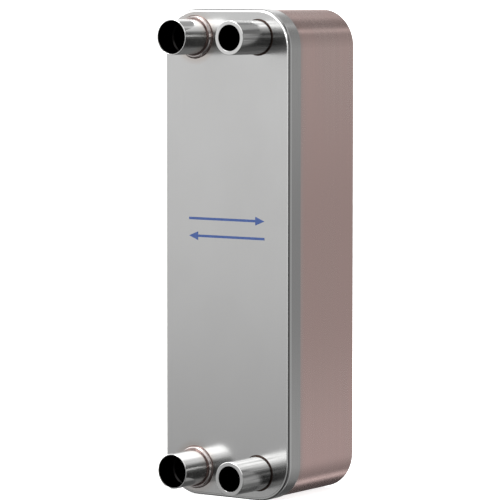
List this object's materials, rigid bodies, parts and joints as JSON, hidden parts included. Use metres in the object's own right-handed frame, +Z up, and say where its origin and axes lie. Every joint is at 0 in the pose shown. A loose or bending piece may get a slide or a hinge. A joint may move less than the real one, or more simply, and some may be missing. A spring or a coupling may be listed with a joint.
{
  "type": "brazed plate heat exchanger",
  "caption": "Tall brazed plate heat exchanger: a rounded copper-brazed stack of pressed plates behind a brushed steel front cover, with a port tube near each corner.",
  "frame": {"origin": "centre of the flat back face", "axes": "+Z up along the plates, +Y out of the back face, ports open towards -Y, +X to the right seen from the ports"},
  "size_m": [0.191, 0.2081, 0.616],
  "materials": {
    "cover_steel": "satin, brushed along its height",
    "plate_steel": "as pressed",
    "coppered_plate": "stainless sheet with a thin flow of braze copper over it",
    "braze_copper": null,
    "tube_steel": "turned stainless"
  },
  "bodies": {
    "root": {"front_cover_plate": "cover_steel", "front_pressure_plate": "cover_steel", "front_sealing_plate": "plate_steel", "channel_plates_a": "coppered_plate", "channel_plates_b": "coppered_plate", "back_sealing_plate": "coppered_plate", "copper_braze_seams": "braze_copper", "back_pressure_plate": "cover_steel", "back_cover_plate": "cover_steel", "port_blank_disc_top_left": "cover_steel", "port_blank_disc_top_right": "cover_steel", "port_blank_disc_bottom_left": "cover_steel", "port_blank_disc_bottom_right": "cover_steel", "solder_socket_top_left": "tube_steel", "solder_socket_bottom_left": "tube_steel", "socket_collar_top_left": "coppered_plate", "socket_collar_bottom_left": "coppered_plate", "braze_ring_top_left": "braze_copper", "braze_ring_bottom_left": "braze_copper", "braze_fillet_top_left": "braze_copper", "braze_fillet_bottom_left": "braze_copper", "pipe_stub_top_right": "tube_steel", "pipe_stub_bottom_right": "tube_steel", "braze_ring_top_right": "braze_copper", "braze_ring_bottom_right": "braze_copper"}
  },
  "joints": []
}
